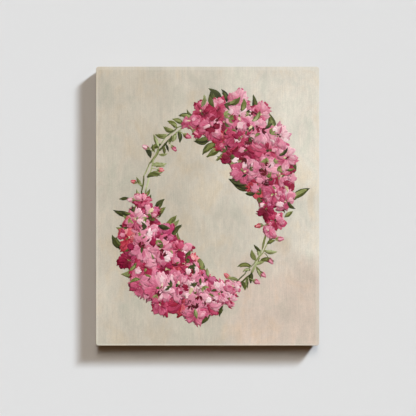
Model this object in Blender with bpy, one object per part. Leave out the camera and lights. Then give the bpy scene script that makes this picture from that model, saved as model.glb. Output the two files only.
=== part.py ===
"""A stretched canvas for the wall, 16 by 20 inches and 1.5 inches deep, with its painted face to -Y.

Four pine stretcher bars meet in mitred corners, each held by two crossed tongues in two slots. A wooden
key in each slot spreads the corner. Cotton canvas is pulled over the bars, folded at the corners and
stapled behind. A sawtooth hanger is nailed under the top edge, and two bumpers keep the lower edge off
the wall. The origin is at the middle of the bottom of the whole object, X to the right, Y to the wall.
"""

import math
import random

import bmesh
import bpy
from mathutils import Euler, Matrix, Vector

INCH = 0.0254
MM = 0.001

# The canvas as it is sold
WIDTH = 16 * INCH
HEIGHT = 20 * INCH
DEPTH = 1.5 * INCH

# The cloth
CLOTH = 0.6 * MM
FRONT_EDGE_RADIUS = 4 * MM
SIDE_EDGE_RADIUS = 3 * MM
BACK_EDGE_RADIUS = 1 * MM
RETURN = 25 * MM
FOLD_REACH = 14 * MM
FOLD_INSET = 2.2 * MM

# The gap between two pieces that touch
GAP = 0.3 * MM

# The stretcher bars
BAR_WIDTH = 38 * MM
BAR_DEPTH = DEPTH - 2 * (CLOTH + GAP)
BEAD_RADIUS = FRONT_EDGE_RADIUS - CLOTH - GAP
BEAD_FLAT = 1.5 * MM
LIP_SLOPE = 6 * MM
LIP_DROP = 3 * MM
BAR_EASE = 1 * MM
CORNER_EASE = 3 * MM

# The corner joints: a tongue of each bar in a slot of the other, one behind the other
TONGUE = 5 * MM
SLOT = TONGUE + 2 * GAP
SLOT_END_WALL = 4 * MM
TONGUE_INSET = 0.5 * MM
TONGUE_ROOT = 15 * MM
FRONT_JOINT_DEPTH = 13 * MM
BACK_JOINT_DEPTH = 25 * MM

# The keys
KEY_IN = 20 * MM
KEY_OUT = 12 * MM
KEY_TIP = 4 * MM
KEY_HEAD = 9.5 * MM
KEY_EASE = 0.5 * MM

# The staples
CROWN = 10 * MM
LEG = 6 * MM
WIRE_THICK = 0.6 * MM
WIRE_WIDE = 1.2 * MM
STAPLES_ACROSS = 7
STAPLES_UP = 9
STAPLE_MARGIN = 45 * MM
CORNER_STAPLE = 15.5 * MM
STAPLE_TURN = 5.0
STAPLE_SHIFT = 1.2 * MM

# The sawtooth hanger and its nails
HANGER_LENGTH = 46 * MM
HANGER_HEIGHT = 9 * MM
HANGER_SHEET = 0.8 * MM
HANGER_TAB = 8 * MM
HANGER_RAMP = 3 * MM
HANGER_RISE = 2.2 * MM
TOOTH_PITCH = 2.6 * MM
TOOTH_WIDTH = 2.4 * MM
TOOTH_DEPTH = 1.7 * MM
TEETH = 9
NAIL_RADIUS = 0.6 * MM
NAIL_TIP_RADIUS = 0.15 * MM
NAIL_POINT = 2 * MM
NAIL_LENGTH = 10 * MM
NAIL_HEAD_RADIUS = 1.9 * MM
NAIL_HEAD_EDGE = 0.3 * MM
NAIL_HEAD = 0.7 * MM
NAIL_SIDES = 12

# The bumpers
BUMPER_RADIUS = 5 * MM
BUMPER_HEIGHT = 2.7 * MM
BUMPER_EASE = 0.7 * MM
BUMPER_SIDES = 24

# Places worked out from the sizes above
TOTAL_DEPTH = DEPTH + GAP + BUMPER_HEIGHT
CANVAS_FRONT = -TOTAL_DEPTH / 2
CANVAS_BACK = CANVAS_FRONT + DEPTH
WOOD_FRONT = CANVAS_FRONT + CLOTH + GAP
WOOD_BACK = WOOD_FRONT + BAR_DEPTH
WOOD_SIDE = WIDTH / 2 - CLOTH - GAP
MIDDLE = HEIGHT / 2
WOOD_END = MIDDLE - CLOTH - GAP
HANGER_Z = HEIGHT - (RETURN + CLOTH + GAP + BAR_WIDTH) / 2
HANGER_SEAT = WOOD_BACK + GAP
NAIL_X = (HANGER_LENGTH - HANGER_TAB) / 2
CUT_PAST = 1 * MM

# Edges that turn by more than this many degrees stay sharp when a piece is shaded
SHARP = 35


def clear_scene():
    for old in list(bpy.data.objects):
        bpy.data.objects.remove(old)


def finish(name, red, green, blue, roughness, metallic=0.0):
    """A Principled material in one colour."""
    material = bpy.data.materials.new(name)
    material.use_nodes = True
    shader = material.node_tree.nodes["Principled BSDF"]
    shader.inputs["Base Color"].default_value = (red, green, blue, 1.0)
    shader.inputs["Roughness"].default_value = roughness
    shader.inputs["Metallic"].default_value = metallic
    return material


def mesh_of(name, shape, material=None):
    """A mesh made of a bmesh, with its faces turned outwards and its round edges shaded smooth."""
    bmesh.ops.recalc_face_normals(shape, faces=shape.faces)
    mesh = bpy.data.meshes.new(name)
    shape.to_mesh(mesh)
    shape.free()
    mesh.shade_smooth()
    mesh.set_sharp_from_angle(angle=math.radians(SHARP))
    if material:
        mesh.materials.append(material)
    return mesh


def place(name, mesh, location=(0, 0, 0), turn=0):
    """An object that shows a mesh, turned by so many degrees about Y."""
    made = bpy.data.objects.new(name, mesh)
    made.location = location
    made.rotation_euler = (0, math.radians(turn), 0)
    bpy.context.scene.collection.objects.link(made)
    return made


def helper(name, shape):
    """A cutter or a tongue that a Boolean takes up, and that is no piece of its own."""
    made = place(name, mesh_of(name, shape))
    made.hide_render = True
    made.display_type = "WIRE"
    return made


def boolean(target, other, operation):
    modifier = target.modifiers.new(operation.title() + " " + other.name, "BOOLEAN")
    modifier.operation = operation
    modifier.object = other
    modifier.solver = "EXACT"


def loft(shape, loops):
    """Joins closed loops of points, each to the next, and closes both ends."""
    rings = [[shape.verts.new(point) for point in loop] for loop in loops]
    count = len(rings[0])
    for ring, following in zip(rings, rings[1:]):
        for i in range(count):
            j = (i + 1) % count
            shape.faces.new((ring[i], ring[j], following[j], following[i]))
    shape.faces.new(rings[0])
    shape.faces.new(reversed(rings[-1]))


def prism(shape, outline, low, high):
    """An outline of (x, z) points, carried along Y from low to high."""
    loft(shape, [[(x, y, z) for x, z in outline] for y in (low, high)])


def turned(shape, rings, sides):
    """A round piece about Y, from a list of (radius, y)."""
    circle = [2 * math.pi * i / sides for i in range(sides)]
    loft(shape, [[(r * math.cos(a), y, r * math.sin(a)) for a in circle] for r, y in rings])


def arc(centre, radius, start, end, steps):
    """Points on an arc, with its angles in degrees."""
    angles = [math.radians(start + (end - start) * i / steps) for i in range(steps + 1)]
    return [(centre[0] + radius * math.cos(a), centre[1] + radius * math.sin(a)) for a in angles]


def rectangle(half_width, low, high, radius, steps=3):
    """The (x, z) outline of a rectangle, with round corners unless the radius is 0."""
    if not radius:
        return [(half_width, low), (half_width, high), (-half_width, high), (-half_width, low)]
    right, bottom, top = half_width - radius, low + radius, high - radius
    return (
        arc((right, bottom), radius, -90, 0, steps)
        + arc((right, top), radius, 0, 90, steps)
        + arc((-right, top), radius, 90, 180, steps)
        + arc((-right, bottom), radius, 180, 270, steps)
    )


def slab(inset, front_radius, back_radius, side_radius):
    """The canvas's outline, set in all round, with its front, back and upright edges rounded."""
    front, back = CANVAS_FRONT + inset, CANVAS_BACK - inset
    section = arc((front_radius, front + front_radius), front_radius, 270, 180, 5)
    if back_radius:
        section += arc((back_radius, back - back_radius), back_radius, 180, 90, 2)
    else:
        section.append((0.0, back))
    loops = []
    for step_in, y in section:
        half = WIDTH / 2 - inset - step_in
        low, high = inset + step_in, HEIGHT - inset - step_in
        loops.append([(x, y, z) for x, z in rectangle(half, low, high, side_radius)])
    shape = bmesh.new()
    loft(shape, loops)
    return shape


def corners():
    """The four corners as (side, end): -1 or 1 across, and -1 or 1 up."""
    return [(side, end) for end in (1, -1) for side in (-1, 1)]


def from_corner(corner, in_x, in_z):
    """The point that lies in_x and in_z inside a corner of the canvas."""
    side, end = corner
    return side * (WIDTH / 2 - in_x), MIDDLE + end * (MIDDLE - in_z)


def from_wood_corner(corner, in_x, in_z):
    return from_corner(corner, in_x + CLOTH + GAP, in_z + CLOTH + GAP)


def joint_depth(front):
    """The Y of the middle of a joint: in each corner one lies in front of the other."""
    return WOOD_FRONT + (FRONT_JOINT_DEPTH if front else BACK_JOINT_DEPTH)


def make_canvas(material, staple_slots):
    """The cloth: front, sides and the returns behind, with a folded layer over each corner."""
    outside = slab(0, FRONT_EDGE_RADIUS, BACK_EDGE_RADIUS, SIDE_EDGE_RADIUS)
    canvas = place("canvas", mesh_of("canvas", outside, material))
    window = bmesh.new()
    outline = rectangle(WIDTH / 2 - RETURN, RETURN, HEIGHT - RETURN, 0)
    prism(window, outline, CANVAS_BACK - CLOTH - CUT_PAST, CANVAS_BACK + CUT_PAST)
    folds = bmesh.new()
    for corner in corners():
        # The slanting edge of a fold runs from the corner to the window's corner.
        outline = [
            from_corner(corner, FOLD_INSET, FOLD_INSET),
            from_corner(corner, RETURN - FOLD_INSET, RETURN - FOLD_INSET),
            from_corner(corner, RETURN + FOLD_REACH, RETURN - FOLD_INSET),
            from_corner(corner, RETURN + FOLD_REACH, FOLD_INSET),
        ]
        prism(folds, outline, CANVAS_BACK - CLOTH / 2, CANVAS_BACK + CLOTH)
    hollow = slab(CLOTH, FRONT_EDGE_RADIUS - CLOTH, 0, SIDE_EDGE_RADIUS - CLOTH)
    boolean(canvas, helper("hollow of the canvas", hollow), "DIFFERENCE")
    boolean(canvas, helper("window behind", window), "DIFFERENCE")
    boolean(canvas, helper("corner folds", folds), "UNION")
    boolean(canvas, staple_slots, "DIFFERENCE")


def bar_profile():
    """A bar's section as (inwards from its outer face, back from its front)."""
    bead = arc((BEAD_RADIUS, BEAD_RADIUS), BEAD_RADIUS, 180, 270, 4)
    slope_start = BEAD_RADIUS + BEAD_FLAT
    return bead + [
        (slope_start, 0.0),
        (slope_start + LIP_SLOPE, LIP_DROP),
        (BAR_WIDTH - BAR_EASE, LIP_DROP),
        (BAR_WIDTH, LIP_DROP + BAR_EASE),
        (BAR_WIDTH, BAR_DEPTH - BAR_EASE),
        (BAR_WIDTH - BAR_EASE, BAR_DEPTH),
        (BAR_EASE, BAR_DEPTH),
        (0.0, BAR_DEPTH - BAR_EASE),
    ]


def mitred_bar(half_length):
    """A bar along X, with its outer face up at the origin and both ends cut at 45 degrees."""
    shape = bmesh.new()
    reach = half_length - GAP / 2 * math.sqrt(2)
    loft(
        shape,
        [[(end * (reach - inwards), back, -inwards) for inwards, back in bar_profile()] for end in (-1, 1)],
    )
    return shape


def add_joint(shape, corner, is_level, along, across, is_front, thickness):
    """Adds a block at a corner: how far it reaches along its bar, across it and through the wood."""
    ranges = (along, across) if is_level else (across, along)
    points = [from_wood_corner(corner, in_x, in_z) for in_x, in_z in zip(*ranges)]
    (x0, x1), (z0, z1) = (sorted(pair) for pair in zip(*points))
    y = joint_depth(is_front)
    prism(shape, [(x0, z0), (x1, z0), (x1, z1), (x0, z1)], y - thickness / 2, y + thickness / 2)


def make_bar(name, ends, material, cutters):
    """One bar of the frame between two corners, with a tongue and a slot at each of its ends."""
    side, end = (sum(pair) / 2 for pair in zip(*ends))
    is_level = side == 0
    shape = mitred_bar(WOOD_SIDE if is_level else WOOD_END)
    location = (side * WOOD_SIDE, WOOD_FRONT, MIDDLE + end * WOOD_END)
    turn = 90 * (1 - end) if is_level else 90 * side
    bar = place(name, mesh_of(name, shape, material), location, turn)
    tongues, slots = bmesh.new(), bmesh.new()
    # A slot goes on past the other bar by a key's height, so that a key can stand in it.
    mouth_height = KEY_TIP + (KEY_HEAD - KEY_TIP) * KEY_IN / (KEY_IN + KEY_OUT)
    slot_along = (-CUT_PAST, BAR_WIDTH + mouth_height + 2 * GAP)
    slot_across = (SLOT_END_WALL, BAR_WIDTH + CUT_PAST)
    tongue_along = (SLOT_END_WALL + GAP, BAR_WIDTH + TONGUE_ROOT)
    tongue_across = (SLOT_END_WALL, BAR_WIDTH - TONGUE_INSET)
    for corner in ends:
        add_joint(tongues, corner, is_level, tongue_along, tongue_across, is_level, TONGUE)
        add_joint(slots, corner, is_level, slot_along, slot_across, not is_level, SLOT)
    boolean(bar, helper(f"tongues of {name}", tongues), "UNION")
    boolean(bar, helper(f"slots of {name}", slots), "DIFFERENCE")
    for cutter in cutters:
        boolean(bar, cutter, "DIFFERENCE")


def corner_easing():
    """Takes the sharp outer corners off the frame, so that they don't cut the cloth."""
    shape = bmesh.new()
    near, far = -CUT_PAST, CORNER_EASE + CUT_PAST
    for corner in corners():
        outline = [from_wood_corner(corner, *at) for at in ((near, near), (far, near), (near, far))]
        prism(shape, outline, WOOD_FRONT - CUT_PAST, WOOD_BACK + CUT_PAST)
    return helper("corner easing", shape)


def make_frame(material, staple_slots, hanger_holes):
    top_left, top_right, bottom_left, bottom_right = corners()
    cutters = [corner_easing(), staple_slots]
    make_bar("bar_top", (top_left, top_right), material, cutters + [hanger_holes])
    make_bar("bar_bottom", (bottom_left, bottom_right), material, cutters)
    make_bar("bar_left", (top_left, bottom_left), material, cutters)
    make_bar("bar_right", (top_right, bottom_right), material, cutters)


def make_keys(material):
    """Two wedges in each corner: one lies across in the upright bar, one stands in the level bar."""
    shape = bmesh.new()
    wedge = [(-KEY_IN, 0), (KEY_OUT, 0), (KEY_OUT, KEY_HEAD), (-KEY_IN, KEY_TIP)]
    prism(shape, wedge, -TONGUE / 2, TONGUE / 2)
    mesh = mesh_of("key", shape, material)
    for i, corner in enumerate(corners()):
        side, end = corner
        into_opening = {"across": Vector((-side, 0, 0)), "up": Vector((0, 0, -end))}
        for way, other, is_front in (("across", "up", True), ("up", "across", False)):
            # The key's straight side lies along the neighbouring bar, and its head is in the opening.
            in_x, in_z = BAR_WIDTH, BAR_WIDTH
            if is_front:
                in_z += GAP
            else:
                in_x += GAP
            long, high = into_opening[way], into_opening[other]
            x, z = from_wood_corner(corner, in_x, in_z)
            axes = Matrix((long, high.cross(long), high)).transposed().to_4x4()
            key = place(f"key_{i + 1}_{way}", mesh)
            key.matrix_world = Matrix.Translation((x, joint_depth(is_front), z)) @ axes
            ease = key.modifiers.new("Eased edges", "BEVEL")
            ease.width = KEY_EASE
            ease.segments = 1


def staple_rows():
    """Each staple as (name, x, z, turn): evenly along the four returns, and one across each fold."""
    strip = RETURN / 2
    reach_x, reach_z = WIDTH / 2 - STAPLE_MARGIN, MIDDLE - STAPLE_MARGIN
    places = []
    for end, row in ((1, "top"), (-1, "bottom")):
        for i in range(STAPLES_ACROSS):
            x = reach_x * (2 * i / (STAPLES_ACROSS - 1) - 1)
            places.append((f"staple_{row}_{i + 1}", x, MIDDLE + end * (MIDDLE - strip), 0))
    for side, row in ((-1, "left"), (1, "right")):
        for i in range(STAPLES_UP):
            z = MIDDLE + reach_z * (2 * i / (STAPLES_UP - 1) - 1)
            places.append((f"staple_{row}_{i + 1}", side * (WIDTH / 2 - strip), z, 90))
    for i, corner in enumerate(corners()):
        x, z = from_corner(corner, CORNER_STAPLE, CORNER_STAPLE)
        places.append((f"staple_corner_{i + 1}", x, z, 45 * corner[0] * corner[1]))
    return places


def staple_matrices():
    """Where each staple sits on the cloth, by its name, a little out of line as a hand drives it."""
    shake = random.Random(16)
    matrices = {}
    for name, x, z, turn in staple_rows():
        x += shake.uniform(-STAPLE_SHIFT, STAPLE_SHIFT)
        z += shake.uniform(-STAPLE_SHIFT, STAPLE_SHIFT)
        turn += shake.uniform(-STAPLE_TURN, STAPLE_TURN)
        layers = 1 if "corner" in name else 0
        y = CANVAS_BACK + layers * CLOTH + GAP
        turned_y = Euler((0, math.radians(turn), 0)).to_matrix().to_4x4()
        matrices[name] = Matrix.Translation((x, y, z)) @ turned_y
    return matrices


def make_staples(matrices, material):
    """Flat wire with two pointed legs, its origin under the middle of the crown."""
    half, bottom = CROWN / 2, WIRE_THICK - LEG
    outline = [
        (-half, WIRE_THICK / 2),
        (-half + WIRE_THICK / 2, WIRE_THICK),
        (half - WIRE_THICK / 2, WIRE_THICK),
        (half, WIRE_THICK / 2),
        (half, bottom + WIRE_THICK),
        (half - WIRE_THICK, bottom),
        (half - WIRE_THICK, 0),
        (-half + WIRE_THICK, 0),
        (-half + WIRE_THICK, bottom),
        (-half, bottom + WIRE_THICK),
    ]
    shape = bmesh.new()
    loft(shape, [[(x, y, z) for x, y in outline] for z in (-WIRE_WIDE / 2, WIRE_WIDE / 2)])
    mesh = mesh_of("staple", shape, material)
    for name, matrix in matrices.items():
        place(name, mesh).matrix_world = matrix


def staple_leg_slots(matrices):
    """The slots that the staples' legs make in cloth and wood, as one cutter."""
    size = Vector((WIRE_THICK + 2 * GAP, LEG + CUT_PAST, WIRE_WIDE + 2 * GAP))
    middle_x = (CROWN - WIRE_THICK) / 2
    middle_y = WIRE_THICK - LEG - GAP + size.y / 2
    shape = bmesh.new()
    for matrix in matrices.values():
        for side in (-1, 1):
            at = Matrix.Translation((side * middle_x, middle_y, 0))
            bmesh.ops.create_cube(shape, size=1, matrix=matrix @ at @ Matrix.Diagonal(size).to_4x4())
    return helper("staple leg slots", shape)


def nail_pilot_holes():
    """The holes for the hanger's nails, as one cutter through the hanger and into the top bar."""
    shape = bmesh.new()
    for side in (-1, 1):
        outline = arc((side * NAIL_X, HANGER_Z), NAIL_RADIUS + GAP, 0, 360 - 30, 11)
        prism(shape, outline, HANGER_SEAT - NAIL_LENGTH, HANGER_SEAT + HANGER_SHEET + CUT_PAST)
    return helper("nail holes", shape)


def make_hanger(material, holes):
    """A pressed steel strip: two flat tabs, and a raised middle that is toothed along its bottom."""
    half = HANGER_LENGTH / 2
    tab, raised = half - HANGER_TAB, half - HANGER_TAB - HANGER_RAMP
    under = [
        (-half, 0),
        (-tab, 0),
        (-raised, HANGER_RISE),
        (raised, HANGER_RISE),
        (tab, 0),
        (half, 0),
    ]
    section = under + [(x, y + HANGER_SHEET) for x, y in reversed(under)]
    bottom, top = -HANGER_HEIGHT / 2, HANGER_HEIGHT / 2
    shape = bmesh.new()
    loft(shape, [[(x, y, z) for x, y in section] for z in (bottom, top)])
    location = (0, HANGER_SEAT, HANGER_Z)
    hanger = place("sawtooth_hanger", mesh_of("sawtooth_hanger", shape, material), location)
    teeth = bmesh.new()
    for i in range(TEETH):
        x = (i - (TEETH - 1) / 2) * TOOTH_PITCH
        outline = [
            (x - TOOTH_WIDTH / 2, bottom - CUT_PAST),
            (x + TOOTH_WIDTH / 2, bottom - CUT_PAST),
            (x + TOOTH_WIDTH / 2, bottom),
            (x, bottom + TOOTH_DEPTH),
            (x - TOOTH_WIDTH / 2, bottom),
        ]
        prism(teeth, outline, 0, HANGER_RISE + HANGER_SHEET + CUT_PAST)
    cutter = helper("gaps between the teeth", teeth)
    cutter.location = location
    boolean(hanger, cutter, "DIFFERENCE")
    boolean(hanger, holes, "DIFFERENCE")


def make_nails(material):
    """Two nails through the hanger's tabs, each with its origin under its domed head."""
    rings = [
        (NAIL_TIP_RADIUS, -NAIL_LENGTH + GAP),
        (NAIL_RADIUS, -NAIL_LENGTH + NAIL_POINT),
        (NAIL_RADIUS, 0),
        (NAIL_HEAD_RADIUS, 0),
        (NAIL_HEAD_RADIUS, NAIL_HEAD_EDGE),
        (NAIL_HEAD_RADIUS * 0.6, NAIL_HEAD),
    ]
    shape = bmesh.new()
    turned(shape, rings, NAIL_SIDES)
    mesh = mesh_of("hanger_nail", shape, material)
    seat = HANGER_SEAT + HANGER_SHEET + GAP
    place("hanger_nail_left", mesh, (-NAIL_X, seat, HANGER_Z))
    place("hanger_nail_right", mesh, (NAIL_X, seat, HANGER_Z))


def make_bumpers(material):
    """Two round pads on the upright returns, midway between the lowest two staples."""
    rings = [
        (BUMPER_RADIUS, 0),
        (BUMPER_RADIUS, BUMPER_HEIGHT - BUMPER_EASE),
        (BUMPER_RADIUS - BUMPER_EASE, BUMPER_HEIGHT),
    ]
    shape = bmesh.new()
    turned(shape, rings, BUMPER_SIDES)
    mesh = mesh_of("bumper", shape, material)
    x = (WIDTH - RETURN) / 2
    z = STAPLE_MARGIN + (MIDDLE - STAPLE_MARGIN) / (STAPLES_UP - 1)
    place("bumper_left", mesh, (-x, CANVAS_BACK + GAP, z))
    place("bumper_right", mesh, (x, CANVAS_BACK + GAP, z))


def main():
    clear_scene()
    painted_cotton = finish("painted cotton canvas", 0.56, 0.51, 0.41, 0.75)
    pine = finish("planed pine", 0.66, 0.46, 0.26, 0.62)
    beech = finish("beech", 0.58, 0.37, 0.21, 0.55)
    steel_wire = finish("galvanised steel wire", 0.62, 0.63, 0.65, 0.32, 1.0)
    zinc_plate = finish("zinc plated steel", 0.7, 0.68, 0.62, 0.28, 1.0)
    brass = finish("brass", 0.8, 0.62, 0.3, 0.3, 1.0)
    rubber = finish("grey rubber", 0.08, 0.08, 0.085, 0.6)

    matrices = staple_matrices()
    staple_slots = staple_leg_slots(matrices)
    hanger_holes = nail_pilot_holes()
    make_canvas(painted_cotton, staple_slots)
    make_frame(pine, staple_slots, hanger_holes)
    make_keys(beech)
    make_staples(matrices, steel_wire)
    make_hanger(zinc_plate, hanger_holes)
    make_nails(brass)
    make_bumpers(rubber)


main()
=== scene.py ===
"""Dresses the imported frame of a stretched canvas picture: painted cotton, paint, pine, fixings and wall."""

import math
import random

import bmesh
import bpy
import numpy as np
from bpy.props import FloatProperty, FloatVectorProperty, IntProperty, PointerProperty
from bpy.types import Operator, Panel, PropertyGroup
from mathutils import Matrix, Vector
from numpy.lib.stride_tricks import sliding_window_view


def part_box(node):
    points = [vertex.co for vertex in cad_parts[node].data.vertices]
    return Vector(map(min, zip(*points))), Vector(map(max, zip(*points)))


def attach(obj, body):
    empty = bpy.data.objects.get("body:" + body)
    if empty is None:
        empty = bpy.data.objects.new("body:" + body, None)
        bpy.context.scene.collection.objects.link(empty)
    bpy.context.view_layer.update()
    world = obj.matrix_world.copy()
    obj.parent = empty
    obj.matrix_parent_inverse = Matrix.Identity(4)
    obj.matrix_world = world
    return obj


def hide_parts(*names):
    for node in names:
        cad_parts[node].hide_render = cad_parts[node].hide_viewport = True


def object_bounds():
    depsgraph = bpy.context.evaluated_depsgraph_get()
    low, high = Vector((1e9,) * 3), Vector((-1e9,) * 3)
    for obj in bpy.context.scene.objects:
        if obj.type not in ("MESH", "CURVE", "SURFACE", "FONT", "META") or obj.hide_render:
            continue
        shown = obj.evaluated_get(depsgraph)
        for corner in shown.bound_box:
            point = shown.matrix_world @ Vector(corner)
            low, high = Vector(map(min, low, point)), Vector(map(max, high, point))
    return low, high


bl_info = {
    "name": "Stretched canvas wall picture",
    "version": (1, 0, 0),
    "blender": (4, 5, 0),
    "location": "3D View > Sidebar > Canvas",
    "description": "Models a painted gallery-wrapped canvas over its stretcher frame",
    "category": "Object",
}

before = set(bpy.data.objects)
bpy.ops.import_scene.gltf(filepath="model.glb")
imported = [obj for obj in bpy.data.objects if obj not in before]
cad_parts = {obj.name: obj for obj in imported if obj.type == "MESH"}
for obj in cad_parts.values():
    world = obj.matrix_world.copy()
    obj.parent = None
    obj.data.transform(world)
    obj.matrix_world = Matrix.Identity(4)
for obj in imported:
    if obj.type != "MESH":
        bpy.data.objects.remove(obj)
CAD_BOX = [list(corner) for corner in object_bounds()]

MM = 0.001
# How deep the canvas is, and how far the cloth reaches in behind it
DEPTH = 0.0381
RETURN = 0.025
CLOTH_LOW, CLOTH_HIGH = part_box("canvas")
FRONT = CLOTH_LOW.y
BACK = FRONT + DEPTH
SIDE = CLOTH_HIGH.x
TOP = CLOTH_HIGH.z
MIDDLE = TOP / 2
WALL = CAD_BOX[1][1]
# A point this close to a plane counts as on it
NEAR = 0.0001
# The length after which a wave texture of scale 1 repeats
WAVE = 0.314
# From one dip between staples to the next, along the upright sides and along the level ones
UPRIGHT_PITCH = 0.0524
LEVEL_PITCH = 0.0527
# Which variation of the frayed edge is made, and how far apart its threads stand
THREAD_SEED = 5
THREAD_PITCH = 0.0026
# Where the lens is, to the right of the canvas's middle and above its lower side
CAMERA_ASIDE = 0.0009
CAMERA_HEIGHT = 0.2506


def linear(hex_colour):
    """Turns an sRGB hex colour into the linear RGBA that a shader takes."""
    parts = [int(hex_colour[i:i + 2], 16) / 255 for i in (1, 3, 5)]
    return tuple(p / 12.92 if p <= 0.04045 else ((p + 0.055) / 1.055) ** 2.4 for p in parts) + (1.0,)


def colour(name, text, hex_colour):
    """A colour setting, shown as a swatch in the panel."""
    return FloatVectorProperty(name=name, description=text, default=linear(hex_colour), size=4, min=0, max=1,
                               subtype="COLOR")


def size(name, text, metres):
    """A length setting in metres."""
    return FloatProperty(name=name, description=text, default=metres, min=0, precision=5, unit="LENGTH")


def share(name, text, part):
    """A setting between 0 and 1."""
    return FloatProperty(name=name, description=text, default=part, min=0, max=1, subtype="FACTOR")


class ClothSettings(PropertyGroup):
    """Sizes and colours of the cotton and of the ground painted on it."""

    thickness: size("Cloth thickness", "Primed cotton duck with its ground", 0.0005)
    corner_radius: size("Corner radius", "How round the four corners are, seen from the front", 0.005)
    front_round: share("Front rounding", "Radius of the front edge, as a share of the corners'", 0.12)
    back_round: share("Back rounding", "Radius of the back edge, as a share of the corners'", 0.2)
    return_width: size("Return", "How far the cloth reaches in behind the frame", RETURN)
    grid: size("Grid", "Spacing of the cuts that let the cloth undulate", 0.008)
    slack: size("Slack", "How far the cloth dips between the staples", 0.00025)
    fold_reach: size("Fold reach", "How far a corner's folded layers reach along the edge", 0.039)
    ground: colour("Ground", "Greige of the brushed background", "#c7beae")
    ground_light: colour("Light ground", "The background at the right, where it is paler", "#e2dbcd")
    ground_warm: colour("Warm ground", "Tint of the sandy patches", "#fff3e0")
    ground_cool: colour("Cool ground", "Tint of the grey-green patches", "#f0f6f4")
    ground_blush: colour("Blush ground", "Pinkish patches low at the right", "#d5c4b5")
    ground_pale: colour("Pale ground", "Paler patches low at the left", "#cfc6b6")
    primer: colour("Primer", "Acrylic gesso, white", "#e6e2d8")
    cotton: colour("Cotton", "Unprimed cotton duck seen from behind", "#ddd2ba")
    cotton_seed: colour("Cotton seed flecks", "Specks of seed husk in raw cotton", "#8d7450")


class PaintSettings(PropertyGroup):
    """The painted design: an oval garland of simple round blossoms."""

    seed: IntProperty(name="Seed", description="Which hand-made variation is painted", default=11, min=0)
    daub: size("Daub thickness", "Thickness of one stroke on bare cloth", 0.00016)
    limit: size("Relief limit", "The highest that layered paint stands over the cloth", 0.0008)
    oval_width: size("Oval width", "Half the garland's width, to its middle line", 0.118)
    oval_height: size("Oval height", "Half the garland's height, to its middle line", 0.158)


class FrameSettings(PropertyGroup):
    """Colours of the wood and of the fixings."""

    pine: colour("Pine", "Early wood of planed pine", "#e3c99c")
    pine_line: colour("Pine late wood", "Growth lines of planed pine", "#b98b55")
    pine_knot: colour("Pine knot", "Knots in pine", "#7d5130")
    beech: colour("Beech", "Sawn beech of the corner keys", "#c99a6e")
    beech_fleck: colour("Beech flecks", "Rays of sawn beech", "#9c6b45")
    zinc: colour("Zinc", "Galvanised staple wire", "#b9bcc0")
    hanger: colour("Hanger", "Zinc-plated steel sheet", "#c9c6bd")
    brass: colour("Brass", "Brass-plated nails", "#d6ae62")
    rubber: colour("Rubber", "Moulded bumpers", "#2a2a2c")
    dust: colour("Dust", "Bloom of dust on the bumpers", "#7b7873")


class StageSettings(PropertyGroup):
    """Wall, floor, light and camera."""

    wall: colour("Wall", "Matt white wall paint", "#e0e0e0")
    key: colour("Key light", "Share of the wall's light from the upper right, slightly cool", "#c6cfd7")
    fill: colour("Fill light", "Share of the wall's light from the front, slightly warm", "#a29d96")
    room: colour("Room light", "Share of the wall's light that comes from all round", "#4e3a25")
    back: colour("Back light", "Light on the picture's back", "#d3d1cd")
    side: colour("Side light", "Light on the picture's left side, from behind", "#8f8b84")
    distance: size("Camera distance", "From the lens to the canvas front", 1.788)


# Where the scene keeps each group of settings
SETTINGS = {"canvas_cloth": ClothSettings, "canvas_paint": PaintSettings, "canvas_frame": FrameSettings,
            "canvas_stage": StageSettings}


def feed(node, *values, **inputs):
    """Sets or links a node's inputs: those in use in order, and others by name, with _ for a space."""
    pairs = list(zip([socket for socket in node.inputs if socket.enabled], values))
    pairs += [(node.inputs[name.replace("_", " ")], value) for name, value in inputs.items()]
    for socket, value in pairs:
        if isinstance(value, bpy.types.Node):
            value = next(output for output in value.outputs if output.enabled)
        if isinstance(value, bpy.types.NodeSocket):
            node.id_data.links.new(value, socket)
        else:
            socket.default_value = value
    return node


def add(tree, kind, *values, **named):
    """Adds a shader node: names in lower case are its settings, and all the rest feeds its inputs."""
    node = tree.nodes.new("ShaderNode" + kind)
    for name in filter(str.islower, named):
        setattr(node, name, named[name])
    return feed(node, *values, **{name: value for name, value in named.items() if not name.islower()})


def every(*lengths):
    """The scale of a pattern that repeats every so many millimetres, the same all ways or for x, y and z."""
    scales = tuple(1 / (length * MM) for length in lengths)
    return scales if len(scales) > 1 else scales[0]


def new_material(name):
    """A material with its node tree and its shader, ready to be fed."""
    made = bpy.data.materials.new(name)
    made.use_nodes = True
    return made, made.node_tree, made.node_tree.nodes["Principled BSDF"]


def wipe_selection():
    """Leaves edit mode and deselects everything."""
    if bpy.context.object and bpy.context.object.mode != "OBJECT":
        bpy.ops.object.mode_set(mode="OBJECT")
    bpy.ops.object.select_all(action="DESELECT")


def select_where(obj, kind, rule):
    """In edit mode, selects only the faces or the edges that a rule picks."""
    bpy.ops.mesh.select_mode(type=kind)
    bpy.ops.mesh.select_all(action="DESELECT")
    mesh = bmesh.from_edit_mesh(obj.data)
    for part in mesh.faces if kind == "FACE" else mesh.edges:
        if rule(part):
            part.select_set(True)
    bmesh.update_edit_mesh(obj.data)


def face_outwards():
    """Turns the faces of the active object outwards."""
    bpy.ops.object.mode_set(mode="EDIT")
    bpy.ops.mesh.select_all(action="SELECT")
    bpy.ops.mesh.normals_make_consistent(inside=False)
    bpy.ops.object.mode_set(mode="OBJECT")


def finish_with(obj, kind, **settings):
    """Gives the active object a modifier with its settings, and applies it."""
    modifier = obj.modifiers.new(kind.title(), kind)
    for name, value in settings.items():
        setattr(modifier, name, value)
    bpy.ops.object.modifier_apply(modifier=modifier.name)


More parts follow.
